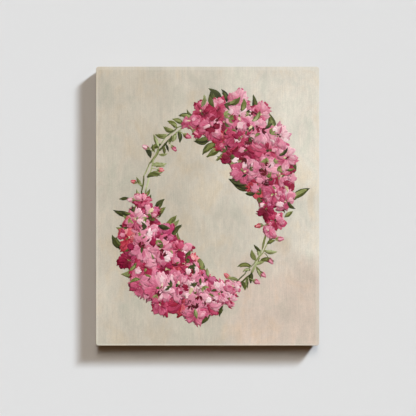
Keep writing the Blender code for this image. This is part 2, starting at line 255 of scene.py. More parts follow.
def new_object(name, points, polygons):
    """A new object of points and polygons, active and selected."""
    mesh = bpy.data.meshes.new(name)
    mesh.from_pydata(points, [], polygons)
    made = bpy.data.objects.new(name, mesh)
    bpy.context.collection.objects.link(made)
    bpy.context.view_layer.objects.active = made
    made.select_set(True)
    return made


def settle(obj, *materials):
    """Puts a piece's place into its mesh, gives it its materials and lets it ride on the frame."""
    # A pale piece would throw a bright rim onto the wall, which stays even in the photograph
    obj.visible_diffuse = False
    wipe_selection()
    obj.select_set(True)
    bpy.context.view_layer.objects.active = obj
    bpy.ops.object.transform_apply(location=True, rotation=True, scale=True)
    for material in materials:
        obj.data.materials.append(material)
    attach(obj, "root")
    obj.select_set(False)


def finish_nodes(finishes):
    """Gives the CAD nodes their finishes, by how their names begin and end."""
    for name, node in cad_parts.items():
        for (start, end), finish in finishes.items():
            if name.startswith(start) and name.endswith(end):
                node.data.materials.clear()
                node.data.materials.append(finish)


def points_of(mesh):
    """A mesh's vertices as an array."""
    points = np.zeros(len(mesh.vertices) * 3, np.float32)
    mesh.vertices.foreach_get("co", points)
    return points.reshape(-1, 3).astype(float)


def move_points(mesh, points):
    """Writes changed vertices back to a mesh."""
    mesh.vertices.foreach_set("co", np.asarray(points, np.float32).ravel())
    mesh.update()


def smooth_step(value, low, high):
    """0 below low, 1 above high and smooth between."""
    t = np.clip((value - low) / (high - low), 0, 1)
    return t * t * (3 - 2 * t)


def heading(angle):
    """A step of length 1 in a direction."""
    return np.array([math.cos(angle), math.sin(angle)])


def quarter_turn(step):
    """The same step, turned a quarter to its left."""
    return np.array([-step[1], step[0]])


def front_wave(x, z):
    """How far the stretched front swells towards the room, in metres: cloth is never quite flat."""
    slow = np.sin(x * 21 + 0.6) * np.sin(z * 15 + 0.3)
    quick = np.sin(x * 47 + z * 31 + 1.7)
    rim = smooth_step(SIDE - np.abs(x), 0.004, 0.03) * smooth_step(MIDDLE - np.abs(z - MIDDLE), 0.004, 0.03)
    return (0.00009 * slow + 0.00004 * quick) * rim


def ground_material(s):
    """Brushed acrylic ground on primed cotton duck: matt, with upright brush lines and patches of colour."""
    made, tree, shader = new_material("acrylic_ground_on_cotton_duck")
    place = add(tree, "TexCoord").outputs["Object"]
    x, y, z = add(tree, "SeparateXYZ", place).outputs
    # Soft patches 36 mm wide and 55 mm tall where the brush changed its load
    tall = add(tree, "Mapping", place, Scale=every(36, 36, 55))
    patches = add(tree, "TexNoise", tall, Scale=1.0, Detail=3.0, Roughness=0.6, Distortion=0.6)
    warm = add(tree, "MapRange", patches, 0.5, 0.7, 0.0, 0.5)
    cool = add(tree, "MapRange", patches, 0.5, 0.3, 0.0, 0.75)
    shifted = add(tree, "Mapping", place, Location=(0.31, 0.0, 0.77))
    drift = add(tree, "TexNoise", shifted, Scale=every(60), Detail=3.0)
    # Paler towards the upper right, and patches of their own in the two low corners
    sideways = add(tree, "Math", drift, 0.1, x, operation="MULTIPLY_ADD")
    risen = add(tree, "Math", z, 0.25, sideways, operation="MULTIPLY_ADD")
    paler = add(tree, "MapRange", risen, 0.09, 0.31)
    tone = add(tree, "Mix", paler, s.ground, s.ground_light, data_type="RGBA")
    upwards = add(tree, "Math", drift, 0.1, z, operation="MULTIPLY_ADD")
    low = add(tree, "MapRange", upwards, 0.235, 0.175)
    for start, end, patch in ((0.075, 0.115, s.ground_blush), (-0.1, -0.125, s.ground_pale)):
        beside = add(tree, "MapRange", sideways, start, end)
        corner = add(tree, "Math", low, beside, operation="MULTIPLY")
        tone = add(tree, "Mix", corner, tone, patch, data_type="RGBA")
    for amount, tint in ((warm, s.ground_warm), (cool, s.ground_cool)):
        tone = add(tree, "Mix", amount, tone, tint, data_type="RGBA", blend_type="MULTIPLY")
    # Upright brush lines: real bristles leave 0.5 mm lines, drawn 1.7 mm wide so that they show
    upright = add(tree, "Mapping", place, Scale=every(1.7, 20, 40))
    lines = add(tree, "TexNoise", upright, Scale=1.0, Detail=1.0)
    slanted = add(tree, "Mapping", place, Rotation=(0.0, 0.5, 0.0), Scale=every(7, 20, 22))
    scrub = add(tree, "TexNoise", slanted, Scale=1.0, Detail=3.0, Distortion=0.8)
    marks = add(tree, "Math", lines, scrub, operation="ADD")
    strong = add(tree, "MapRange", marks, 0.7, 1.3, 0.94, 1.06)
    slow = add(tree, "MapRange", drift, 0.3, 0.7, 0.93, 1.07)
    # The tops of the threads take more paint: 0.7 mm apart, drawn as specks of 1.8 mm
    specks = add(tree, "TexNoise", place, Scale=every(1.8), Detail=0.0)
    grain = add(tree, "MapRange", specks, 0.2, 0.8, 0.955, 1.045)
    broad = add(tree, "Math", strong, slow, operation="MULTIPLY")
    shade = add(tree, "Math", broad, grain, operation="MULTIPLY")
    brushed = add(tree, "VectorMath", tone, shade, operation="SCALE")
    # Painted highlight along the edges: the ground is mixed towards the primer's white near them
    edges = []
    for axis, middle, half in ((x, -0.0012, SIDE), (z, MIDDLE - 0.0013, MIDDLE)):
        off = add(tree, "Math", axis, middle, operation="SUBTRACT")
        away = add(tree, "Math", off, operation="ABSOLUTE")
        edges.append(add(tree, "Math", half, away, operation="SUBTRACT"))
    nearest = add(tree, "Math", *edges, operation="MINIMUM")
    wobble = add(tree, "Math", drift, 0.003, nearest, operation="MULTIPLY_ADD")
    rim = add(tree, "MapRange", wobble, 0.0045, 0.0085, 0.26, 0.0, interpolation_type="SMOOTHSTEP")
    # Painted highlight: the lit rim is mixed into the brushed ground here
    edge_highlighted = add(tree, "Mix", rim, brushed, s.primer, data_type="RGBA")
    # The paint ends raggedly behind the back edge
    ragged = add(tree, "TexNoise", place, Scale=every(12), Detail=4.0, Roughness=0.7)
    reach = add(tree, "Math", ragged, 0.006, y, operation="MULTIPLY_ADD")
    bare = add(tree, "MapRange", reach, BACK + 0.0014, BACK + 0.0021)
    whole = add(tree, "Mix", bare, edge_highlighted, s.primer, data_type="RGBA")
    # Duck has a thread about every 0.7 mm, drawn at 1.6 mm so that it shows
    threads = [add(tree, "TexWave", place, Scale=WAVE * every(1.6), Distortion=0.6, bands_direction=way)
               for way in "XZ"]
    weave = add(tree, "Math", *[thread.outputs["Fac"] for thread in threads], operation="ADD")
    tooth = add(tree, "Math", marks, 0.8, weave, operation="MULTIPLY_ADD")
    bump = add(tree, "Bump", Height=tooth, Strength=0.16, Distance=0.0002)
    gloss = add(tree, "MapRange", marks, 0.7, 1.3, 0.8, 0.96)
    feed(shader, Base_Color=whole, Normal=bump, Roughness=gloss, Specular_IOR_Level=0.03)
    return made


def cotton_material(s):
    """Raw cotton duck: a matt, oatmeal plain weave with slubs and specks of seed husk."""
    made, tree, shader = new_material("raw_cotton_duck")
    place = add(tree, "TexCoord").outputs["Object"]
    # A thread about every 0.7 mm, drawn at 1.8 mm so that it shows, with slubs 30 mm long along it
    threads, slubs = [], []
    for way, long in (("X", every(30, 20, 1.6)), ("Z", every(1.6, 20, 30))):
        thread = add(tree, "TexWave", place, Scale=WAVE * every(1.8), Distortion=1.2, Detail_Scale=2.0,
                     bands_direction=way)
        threads.append(thread.outputs["Fac"])
        drawn = add(tree, "Mapping", place, Scale=long)
        slubs.append(add(tree, "TexNoise", drawn, Scale=1.0))
    weave = add(tree, "Math", *threads, operation="MULTIPLY")
    thick = add(tree, "Math", *slubs, operation="ADD")
    broad = add(tree, "MapRange", thick, 0.7, 1.3, 0.86, 1.1)
    fine = add(tree, "MapRange", weave, 0.0, 1.0, 0.93, 1.05)
    shade = add(tree, "Math", broad, fine, operation="MULTIPLY")
    cloth = add(tree, "VectorMath", s.cotton[:3], shade, operation="SCALE")
    specks = add(tree, "TexVoronoi", place, Scale=every(14))
    husk = add(tree, "MapRange", specks, 0.05, 0.09, 0.6, 0.0)
    whole = add(tree, "Mix", husk, cloth, s.cotton_seed, data_type="RGBA")
    height = add(tree, "Math", thick, 0.8, weave, operation="MULTIPLY_ADD")
    bump = add(tree, "Bump", Height=height, Strength=0.5, Distance=0.0003)
    feed(shader, Base_Color=whole, Normal=bump, Roughness=0.95, Specular_IOR_Level=0.1, Sheen_Weight=0.15)
    return made


def paint_material():
    """Buttery oil paint laid with a bristle brush: satin, each stroke streaked with a second colour."""
    made, tree, shader = new_material("oil_paint_brushed")
    place = add(tree, "TexCoord").outputs["UV"]
    tint, streak = (add(tree, "Attribute", attribute_name=name) for name in ("tint", "streak"))
    # Bristles draw lines of 0.3 mm, drawn 1.3 mm wide and 12 mm long so that they show
    drawn = add(tree, "Mapping", place, Scale=every(12, 1.3, 1000))
    bristles = add(tree, "TexNoise", drawn, Scale=1.0, Detail=2.0, Distortion=0.4)
    load = add(tree, "MapRange", bristles, 0.42, 0.66, 0.0, 0.8, interpolation_type="SMOOTHSTEP")
    streaked = add(tree, "Mix", load, tint, streak, data_type="RGBA")
    pools = add(tree, "TexNoise", place, Scale=every(5), Detail=1.0)
    shade = add(tree, "MapRange", pools, 0.3, 0.7, 0.93, 1.06)
    whole = add(tree, "VectorMath", streaked, shade, operation="SCALE")
    bump = add(tree, "Bump", Height=bristles, Strength=0.45, Distance=0.0006)
    gloss = add(tree, "MapRange", bristles, 0.3, 0.7, 0.44, 0.6)
    feed(shader, Base_Color=whole, Normal=bump, Roughness=gloss, Specular_IOR_Level=0.25)
    return made


def wood_material(name, light, dark, spot, along):
    """Bare wood: pale early wood with darker growth lines along the piece, and a knot here and there."""
    made, tree, shader = new_material(name)
    place = add(tree, "TexCoord").outputs["Object"]
    turned = add(tree, "Mapping", place, Rotation=(0.0, 0.0 if along == "X" else math.pi / 2, 0.0))
    wander = add(tree, "TexNoise", turned, Scale=every(90), Detail=2.0).outputs["Color"]
    bent = add(tree, "VectorMath", wander, 0.02, operation="SCALE")
    moved = add(tree, "VectorMath", turned, bent, operation="ADD")
    # Growth lines 3 to 4 mm apart, drawn out along the bar
    drawn = add(tree, "Mapping", moved, Scale=every(160, 4.5, 4.5))
    rings = add(tree, "TexNoise", drawn, Scale=1.0, Detail=1.0)
    lines = add(tree, "Math", rings, 24.0, operation="MULTIPLY")
    waves = add(tree, "Math", lines, operation="SINE")
    late = add(tree, "MapRange", waves, 0.1, 1.0, 0.0, 0.62)
    grain = add(tree, "Mix", late, light, dark, data_type="RGBA")
    # Fibres 0.8 mm wide and 20 mm long
    fibre = add(tree, "Mapping", turned, Scale=every(20, 0.8, 0.8))
    pores = add(tree, "TexNoise", fibre, Scale=1.0, Detail=2.0)
    # Knots of 17 by 7 mm with a soft rim, about one to a cell of 170 by 70 mm
    spots = add(tree, "Mapping", turned, Scale=every(170, 70, 70))
    cells = add(tree, "TexVoronoi", spots, Scale=1.0)
    knot = add(tree, "MapRange", cells, 0.05, 0.11, 0.8, 0.0)
    knotted = add(tree, "Mix", knot, grain, spot, data_type="RGBA")
    shade = add(tree, "MapRange", pores, 0.3, 0.7, 0.92, 1.06)
    whole = add(tree, "VectorMath", knotted, shade, operation="SCALE")
    height = add(tree, "Math", pores, waves, operation="ADD")
    bump = add(tree, "Bump", Height=height, Strength=0.3, Distance=0.0001)
    gloss = add(tree, "MapRange", waves, -1.0, 1.0, 0.68, 0.52)
    feed(shader, Base_Color=whole, Normal=bump, Roughness=gloss)
    return made


def metal_material(name, tone, rough, patch, uneven):
    """Plated metal: a sharp sheen that breaks up in patches, so many millimetres wide, of uneven plating."""
    made, tree, shader = new_material(name)
    place = add(tree, "TexCoord").outputs["Object"]
    patches = add(tree, "TexNoise", place, Scale=every(patch), Detail=3.0)
    shade = add(tree, "MapRange", patches, 0.3, 0.7, 1 - uneven, 1.0)
    whole = add(tree, "VectorMath", tone[:3], shade, operation="SCALE")
    gloss = add(tree, "MapRange", patches, 0.3, 0.7, rough, rough + 0.15)
    bump = add(tree, "Bump", Height=patches, Strength=0.2, Distance=0.00005)
    feed(shader, Base_Color=whole, Normal=bump, Roughness=gloss, Metallic=1.0)
    return made


def rubber_material(tone, dusty):
    """Moulded rubber: dull black, greyed by a bloom of dust."""
    made, tree, shader = new_material("moulded_rubber")
    place = add(tree, "TexCoord").outputs["Object"]
    dust = add(tree, "TexNoise", place, Scale=every(3), Detail=4.0)
    bloom = add(tree, "MapRange", dust, 0.4, 0.75, 0.0, 0.35)
    whole = add(tree, "Mix", bloom, tone, dusty, data_type="RGBA")
    gloss = add(tree, "MapRange", dust, 0.3, 0.7, 0.55, 0.85)
    feed(shader, Base_Color=whole, Roughness=gloss)
    return made


class CANVAS_OT_cover(Operator):
    """Models the cotton cover: a box with its back cut open, rounded, gridded and given its thickness"""

    bl_idname = "canvas.cover"
    bl_label = "Canvas cover"

    def execute(self, context):
        s = context.scene.canvas_cloth
        inner_x, inner_z = SIDE - s.return_width, MIDDLE - s.return_width

        def on_back(face):
            return face.normal.y > 0.99

        def in_opening(face):
            middle = face.calc_center_median()
            return on_back(face) and abs(middle.x) < inner_x and abs(middle.z - MIDDLE) < inner_z

        wipe_selection()
        bpy.ops.mesh.primitive_cube_add(size=1, location=(0, (FRONT + BACK) / 2, MIDDLE),
                                        scale=(2 * SIDE, BACK - FRONT, TOP))
        cover = context.object
        cover.name = "painted_cover"
        bpy.ops.object.transform_apply(location=True, rotation=True, scale=True)
        bpy.ops.object.mode_set(mode="EDIT")
        # The outline's four corners come first, then the front edge and the back edge all round
        for rule, radius, segments in (
                (lambda ys: max(ys) - min(ys) > DEPTH / 2, s.corner_radius, 6),
                (lambda ys: max(ys) < FRONT + NEAR, s.corner_radius * s.front_round, 3),
                (lambda ys: min(ys) > BACK - NEAR, s.corner_radius * s.back_round, 3)):
            select_where(cover, "EDGE", lambda edge: rule([vertex.co.y for vertex in edge.verts]))
            bpy.ops.mesh.bevel(offset=radius, segments=segments, affect="EDGES")
        for sign in (-1, 1):
            for place, normal in (((sign * inner_x, 0, 0), (1, 0, 0)),
                                  ((0, 0, MIDDLE + sign * inner_z), (0, 0, 1))):
                select_where(cover, "FACE", on_back)
                bpy.ops.mesh.bisect(plane_co=place, plane_no=normal)
        select_where(cover, "FACE", in_opening)
        bpy.ops.mesh.delete(type="FACE")
        # Cuts over the flat of the front and, in four places, across the depth
        columns, rows = (int((half - s.corner_radius) / s.grid) for half in (SIDE, MIDDLE))
        cuts = [((x, 0, 0), (1, 0, 0)) for x in np.arange(-columns, columns + 1) * s.grid]
        cuts += [((0, 0, MIDDLE + z), (0, 0, 1)) for z in np.arange(-rows, rows + 1) * s.grid]
        cuts += [((0, y, 0), (0, 1, 0)) for y in (-0.012, -0.004, 0.004, 0.012)]
        for place, normal in cuts:
            bpy.ops.mesh.select_all(action="SELECT")
            bpy.ops.mesh.bisect(plane_co=place, plane_no=normal)
        bpy.ops.object.mode_set(mode="OBJECT")
        self.relax(cover.data, s, inner_x, inner_z)
        for material in (ground_material(s), cotton_material(s)):
            cover.data.materials.append(material)
        finish_with(cover, "SOLIDIFY", thickness=s.thickness, offset=-1, material_offset=1,
                    material_offset_rim=1)
        bpy.ops.object.shade_smooth_by_angle(angle=math.radians(35))
        # Keeps the flat sides flat in the light right up to their rounded edges
        finish_with(cover, "WEIGHTED_NORMAL", keep_sharp=True)
        settle(cover)
        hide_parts("canvas")
        return {"FINISHED"}

    def relax(self, mesh, s, inner_x, inner_z):
        """Lets the cloth swell, dip between its staples and end in a slightly uneven cut."""
        points = points_of(mesh)
        x, y, z = points.T.copy()
        rise = z - MIDDLE
        facing = y < FRONT + NEAR
        points[facing, 1] -= front_wave(x, z)[facing]
        # The sides dip between the staples, though not beside their front and back edges
        depth = smooth_step(y, FRONT + 0.006, FRONT + 0.02) * smooth_step(BACK - y, -0.001, 0.01)
        for axis, off, half, along, pitch, phase in ((0, x, SIDE, z, UPRIGHT_PITCH, 0.8),
                                                     (2, rise, MIDDLE, x, LEVEL_PITCH, 2.1)):
            flat = np.abs(off) > half - 0.0004
            dips = s.slack * (0.5 + 0.5 * np.sin(along * math.tau / pitch + phase)) * depth
            points[flat, axis] -= (np.sign(off) * dips)[flat]
        # The raw edge wanders by up to 1.2 mm
        behind, close = y > BACK - 0.0003, 0.0006
        at_x = behind & (np.abs(np.abs(x) - inner_x) < close) & (np.abs(rise) < inner_z + close)
        at_z = behind & (np.abs(np.abs(rise) - inner_z) < close) & (np.abs(x) < inner_x + close)
        points[at_x, 0] += (0.0007 * np.sin(z * 61) + 0.0005 * np.sin(z * 143 + 1))[at_x]
        points[at_z, 2] += (0.0007 * np.sin(x * 67) + 0.0005 * np.sin(x * 151 + 2))[at_z]
        move_points(mesh, points)


class CANVAS_OT_corner_folds(Operator):
    """Models the folded layers at the four corners, from the front edge round to the back"""

    bl_idname = "canvas.corner_folds"
    bl_label = "Corner folds"

    def execute(self, context):
        s = context.scene.canvas_cloth
        inset = s.return_width - 0.0022
        # From the front edge over the side and the back edge to the raw end:
        # y, distance below the top, how far along
        path = [(FRONT + 0.0042, 0.0, 0.0014), (FRONT + 0.010, 0.0, 0.0015), (FRONT + 0.018, 0.0, 0.0016),
                (FRONT + 0.026, 0.0, 0.0018), (BACK - 0.004, 0.0, 0.002), (BACK - 0.0012, 0.0, 0.0022),
                (BACK - 0.0003, 0.0003, 0.0024), (BACK, 0.0012, 0.003), (BACK, 0.006, 0.0064),
                (BACK, 0.011, 0.0114), (BACK, 0.017, 0.0172), (BACK, inset, inset + 0.0002)]
        across = [0.0, 0.04, 0.12, 0.35, 0.65, 0.88, 0.96, 1.0]
        # Two hidden layers lift the flap by half a millimetre, and elsewhere it nearly touches the cover
        layers, clearance = 0.00052, 0.00004
        wipe_selection()
        made = []
        for sx in (-1, 1):
            for sz in (-1, 1):
                bpy.ops.mesh.primitive_grid_add(x_subdivisions=len(across) - 1, y_subdivisions=len(path) - 1,
                                                size=1)
                flap = context.object
                grid = points_of(flap.data)
                i = np.rint((grid[:, 0] + 0.5) * (len(across) - 1)).astype(int)
                j = np.rint((grid[:, 1] + 0.5) * (len(path) - 1)).astype(int)
                run, (y, down, begin) = np.array(across)[i], np.array(path)[j].T
                x = SIDE - begin - run * (s.fold_reach - begin)
                # The flap sinks to the cloth where the hidden layers end, and towards the front edge
                lift = layers * (1 - smooth_step(run, 0.55, 1.0)) * smooth_step(y, FRONT, FRONT + 0.012)
                lift = lift + clearance
                over = y > BACK - 0.0009
                # The upper layer follows the cover round its upright corner
                turned = np.clip((x - SIDE) / s.corner_radius + 1, 0, 1)
                level = np.sqrt(1 - turned ** 2)
                aside = np.where(over, 0, lift)
                z = TOP - down - s.corner_radius * (1 - level) + aside * level
                move_points(flap.data, np.stack([sx * (x + aside * turned), y + np.where(over, lift, 0),
                                                 z if sz > 0 else TOP - z], 1))
                face_outwards()
                if flap.data.polygons[0].normal.z * sz < 0:
                    flap.data.flip_normals()
                made.append(flap)
        for flap in made:
            flap.select_set(True)
        bpy.ops.object.join()
        folds = context.object
        folds.name = "corner_folds"
        finish_with(folds, "SOLIDIFY", thickness=0.00045, offset=-1, use_even_offset=False)
        bpy.ops.object.shade_smooth_by_angle(angle=math.radians(40))
        settle(folds, bpy.data.materials["acrylic_ground_on_cotton_duck"])
        return {"FINISHED"}


class CANVAS_OT_loose_threads(Operator):
    """Models the frayed ends of thread along the raw edge of the cloth behind the frame"""

    bl_idname = "canvas.loose_threads"
    bl_label = "Loose threads"

    def execute(self, context):
        s = context.scene.canvas_cloth
        dice = random.Random(THREAD_SEED)
        inner_x, inner_z = SIDE - s.return_width, MIDDLE - s.return_width
        # The shape of one thread, 1 long and 1 thick, which every copy bends in its own way
        wipe_selection()
        bpy.ops.mesh.primitive_cylinder_add(vertices=4, radius=1, depth=1, end_fill_type="TRIFAN")
        master = context.object
        bpy.ops.object.mode_set(mode="EDIT")
        for height in (-0.25, 0.0, 0.25):
            bpy.ops.mesh.select_all(action="SELECT")
            bpy.ops.mesh.bisect(plane_co=(0, 0, height), plane_no=(0, 0, 1))
        bpy.ops.object.mode_set(mode="OBJECT")
        shape = points_of(master.data)
        faces = [tuple(p.vertices) for p in master.data.polygons]
        bpy.data.objects.remove(master)
        points, polygons = [], []
        spots = [(sx * inner_x, MIDDLE + z, -sx, 0)
                 for sx in (-1, 1) for z in np.arange(-0.224, 0.225, THREAD_PITCH)]
        spots += [(x, MIDDLE + sz * inner_z, 0, -sz)
                  for sz in (-1, 1) for x in np.arange(-0.174, 0.175, THREAD_PITCH)]
        for x, z, way_x, way_z in spots:
            # One in 14 has come loose and hangs out, and the others end just past the cut
            long = dice.random() < 0.07
            length = dice.uniform(0.006, 0.017) if long else dice.uniform(0.0006, 0.0026)
            aside = dice.uniform(-1.2, 1.2) * length if long else dice.uniform(-0.5, 0.5) * length
            curl = dice.uniform(-0.5, 0.5) * length if long else 0
            lift = dice.uniform(0.0001, 0.0012) if long else dice.uniform(0, 0.0003)
            shift = dice.uniform(-0.0012, 0.0012)
            # It starts 1 mm inside the cloth
            root = 0.001
            along_x, along_z = abs(way_z), abs(way_x)
            start = Vector((x + shift * along_x - way_x * root, BACK - 0.0003,
                            z + shift * along_z - way_z * root))
            end = start + Vector((way_x * (length + root) + aside * along_x, lift,
                                  way_z * (length + root) + aside * along_z))
            middle = (start + end) / 2 + Vector((curl * along_x, lift * 0.6, curl * along_z))
            side = Vector((along_x, 0, along_z))
            thick = dice.uniform(0.00014, 0.0002)
            first = len(points)
            for px, py, pz in shape:
                t = pz + 0.5
                line = start * (1 - t) ** 2 + middle * (2 * t * (1 - t)) + end * t * t
                points.append(line + side * (px * thick) + Vector((0, py * thick, 0)))
            polygons += [tuple(first + i for i in face) for face in faces]
        threads = new_object("loose_threads", points, polygons)
        face_outwards()
        settle(threads, bpy.data.materials["raw_cotton_duck"])
        return {"FINISHED"}


# Half widths of a stroke at nine stations, how far its start and its end bulge, and how bristly its end is
OUTLINES = {
    "filbert": ((0.5, 0.82, 0.97, 1.0, 0.97, 0.9, 0.8, 0.66, 0.45), 0.3, 0.3, 0.3),
    "dry": ((0.62, 0.94, 1.0, 0.95, 0.98, 0.84, 0.8, 0.6, 0.4), 0.2, 0.1, 0.6),
    "leaf": ((0.12, 0.5, 0.82, 0.98, 1.0, 0.88, 0.64, 0.36, 0.06), 0.1, 0.1, 0.05),
    "line": ((0.5, 0.85, 1.0, 0.94, 1.0, 0.9, 0.96, 0.8, 0.45), 0.3, 0.2, 0.1),
}
# From the darkest of each mix to its highlight
TONES = {
    "deep": ("#5a071a", "#880c31", "#a51b4d", "#c04471", "#d37e9d"),
    "rose": ("#7c0b24", "#ae2149", "#c84d70", "#da7e95", "#e8abb7"),
    "pink": ("#991a43", "#ca5477", "#d97e97", "#e59dad", "#f0c0c8"),
    "pale": ("#b13c61", "#d77e98", "#e5a0af", "#eebec5", "#f7dddd"),
    "coral": ("#890c25", "#be2940", "#d45a68", "#de8086", "#ecadaa"),
}
# The mix that some of a blossom's petals take instead of its own
LIKE = {"deep": "rose", "rose": "pink", "pink": "pale", "pale": "pink", "coral": "rose"}
GREENS = {
    "dark": ("#1f220e", "#353917", "#4b5022", "#676c34"),
    "olive": ("#3c4119", "#5b6026", "#7a7f41", "#9da267"),
    "sage": ("#585d2b", "#797e45", "#9a9f69", "#c0c896"),
}
# The deep red of the shadows between petals, and the cream of a blossom's heart
DARKS = ("#4a0511", "#6b0819")
CREAMS = ("#e2d2a6", "#cfbf92", "#e8dcc0")


def weights_between(count, steps):
    """The matrix that spreads values at count stations over steps smaller intervals each."""
    fine = np.arange((count - 1) * steps + 1) / steps
    return np.maximum(0, 1 - np.abs(fine[:, None] - np.arange(count)[None, :]))


class Painting:
    """Holds a picture's strokes, and how high the paint stands, on a 1 mm grid over the canvas.

    Places and lengths are in millimetres from the canvas's middle, to the right and upwards.
    """

    STATIONS, RANKS, STEPS = 9, 6, 4

    def __init__(self, s):
        self.daub, self.limit = s.daub / MM, s.limit / MM
        self.radii = np.array([s.oval_width / MM, s.oval_height / MM])
        self.dice = np.random.default_rng(s.seed)
        self.half_wide, self.half_high = int(SIDE / MM), int(MIDDLE / MM)
        x = np.arange(-self.half_wide, self.half_wide + 1) * MM
        z = np.arange(-self.half_high, self.half_high + 1) * MM
        self.height = front_wave(x[None, :], z[:, None] + MIDDLE) / MM
        # Along a stroke from its start to its end, and across it from edge to edge
        self.u = np.linspace(0, 1, self.STATIONS)[:, None]
        self.v = np.linspace(-1, 1, self.RANKS)[None, :]
        self.along = weights_between(self.STATIONS, self.STEPS)
        self.across = weights_between(self.RANKS, self.STEPS)
        self.strokes = []
        self.material = paint_material()
        self.model_daub()

    def model_daub(self):
        """Models one daub: a flat patch of paint with a rim down to the cloth and an underside."""
        wipe_selection()
        bpy.ops.mesh.primitive_grid_add(x_subdivisions=self.STATIONS - 1, y_subdivisions=self.RANKS - 1,
                                        size=2)
        daub = bpy.context.object
        bpy.ops.object.mode_set(mode="EDIT")
        select_where(daub, "EDGE", lambda edge: edge.is_boundary)
        bpy.ops.mesh.extrude_region_move(TRANSFORM_OT_translate={"value": (0, 0, -1)})
        bpy.ops.mesh.edge_face_add()
        face_outwards()
        points = points_of(daub.data)
        self.faces = [tuple(p.vertices) for p in daub.data.polygons]
        self.smooth = [p.normal.z > 0.9 for p in daub.data.polygons]
        bpy.data.objects.remove(daub)
        self.station = np.rint((points[:, 0] + 1) / 2 * (self.STATIONS - 1)).astype(int)
        self.rank = np.rint((points[:, 1] + 1) / 2 * (self.RANKS - 1)).astype(int)
        self.upper = points[:, 2] > -0.5

    def stroke(self, start, end, half_width, colours, streak, outline, bow, thick):
        """Lays one stroke over the paint that is there."""
        widths, bulge_start, bulge_end, bristly = OUTLINES[outline]
        u, v, dice, shape = self.u, self.v, self.dice, (self.STATIONS, self.RANKS)
        run = end - start
        middle = (start + end) / 2 + quarter_turn(run) * bow * 2
        line = (1 - u) ** 2 * start + 2 * u * (1 - u) * middle + u * u * end
        way = 2 * (1 - u) * (middle - start) + 2 * u * (end - middle)
        way = way / np.linalg.norm(way, axis=1, keepdims=True)
        normal = np.stack([-way[:, 1], way[:, 0]], 1)
        ragged = (0.04 + 0.16 * bristly) * dice.standard_normal(shape)
        spread = np.array(widths)[:, None] * half_width * (1 + ragged * np.abs(v) ** 3)
        bulge = (bulge_end * u ** 4 - bulge_start * (1 - u) ** 4) * (1 - v * v) * half_width
        ends = bristly * half_width * dice.uniform(-1, 1, shape) * (u ** 6 + (1 - u) ** 6)
        shift = (bulge + ends)[..., None]
        flat = line[:, None, :] + normal[:, None, :] * (v * spread)[..., None] + way[:, None, :] * shift
        top, low = self.drape(flat, thick)
        mix = np.clip(u + 0.12 * dice.standard_normal(shape), 0, 1)[..., None]
        tint = np.array(colours[0]) * (1 - mix) + np.array(colours[1]) * mix
        tint = tint * (1 + 0.05 * dice.standard_normal())
        # Each stroke has its own place on the pattern of the bristles
        offset = dice.uniform(0, 7, 2)
        chart = np.stack([u * np.linalg.norm(run) * MM + offset[0] + 0 * v, v * spread * MM + offset[1]], -1)
        at = (self.station, self.rank)
        place, height = flat[at], np.where(self.upper, top[at], low[at])
        self.strokes.append({
            "points": np.stack([place[:, 0] * MM, FRONT - height * MM, place[:, 1] * MM + MIDDLE], 1),
            "chart": chart[at],
            "tint": np.clip(tint[at], 0, 1),
            "streak": np.tile(streak, (len(place), 1)),
        })

    def drape(self, flat, thick):
        """Heights of a stroke's upper side and of its rim's foot, and raises the grid where it lies."""
        fine = np.einsum("ai,ijk,bj->abk", self.along, flat, self.across)
        cols = np.clip(np.rint(fine[..., 0]).astype(int) + self.half_wide, 2, 2 * self.half_wide - 2)
        rows = np.clip(np.rint(fine[..., 1]).astype(int) + self.half_high, 2, 2 * self.half_high - 2)
        # The stroke lies on the highest paint within 3 fine steps
        near = sliding_window_view(np.pad(self.height[rows, cols], 3, mode="edge"), (7, 7)).max(axis=(2, 3))
        crest = near[::self.STEPS, ::self.STEPS]
        body = (0.75 + 0.3 * self.u ** 3) * (1 - 0.45 * np.abs(self.v) ** 6)
        body = body * (1 + 0.16 * self.dice.standard_normal(crest.shape))
        room = np.maximum(self.limit - crest, 0)
        top = crest + np.minimum(self.daub * thick, 0.2 * room) * body
        # Its rim's foot is 0.06 mm under the lowest paint within 2 mm
        row, col = rows[::self.STEPS, ::self.STEPS], cols[::self.STEPS, ::self.STEPS]
        around = [self.height[row + down, col + aside] for down in (-2, 0, 2) for aside in (-2, 0, 2)]
        low = np.minimum.reduce(around) - 0.06
        np.maximum.at(self.height, (rows, cols), self.along @ top @ self.across.T)
        return top, low

    def finish_piece(self, name):
        """Makes one piece of the strokes laid since the last one, each a copy of the master daub."""
        count, step = len(self.strokes), len(self.station)
        made = {key: np.concatenate([stroke[key] for stroke in self.strokes]) for key in self.strokes[0]}
        polygons = [[i * step + corner for corner in face] for i in range(count) for face in self.faces]
        piece = new_object(name, made["points"], polygons)
        mesh = piece.data
        mesh.polygons.foreach_set("use_smooth", np.tile(self.smooth, count))
        corners = np.zeros(len(mesh.loops), np.int32)
        mesh.loops.foreach_get("vertex_index", corners)
        layer = mesh.uv_layers.new(name="strokes")
        layer.data.foreach_set("uv", made["chart"][corners].astype(np.float32).ravel())
        for key in ("tint", "streak"):
            layer = mesh.color_attributes.new(key, "FLOAT_COLOR", "POINT")
            layer.data.foreach_set("color", made[key].astype(np.float32).ravel())
        mesh.validate()
        self.strokes = []
        settle(piece, self.material)

    def oval(self, degrees, out=0.0):
        """A point on the garland's middle line, moved outwards by out, and the angle outwards there."""
        way = heading(math.radians(degrees))
        normal = way / self.radii
        normal = normal / np.linalg.norm(normal)
        return way * self.radii + normal * out, math.atan2(normal[1], normal[0])

    def pick(self, palette):
        """One of a palette's colours, linear."""
        return linear(palette[self.dice.integers(len(palette))])

    def pair(self, first, second=None):
        """A colour for a stroke's start and one for its end, from two palettes or from one."""
        return self.pick(first), self.pick(second or first)

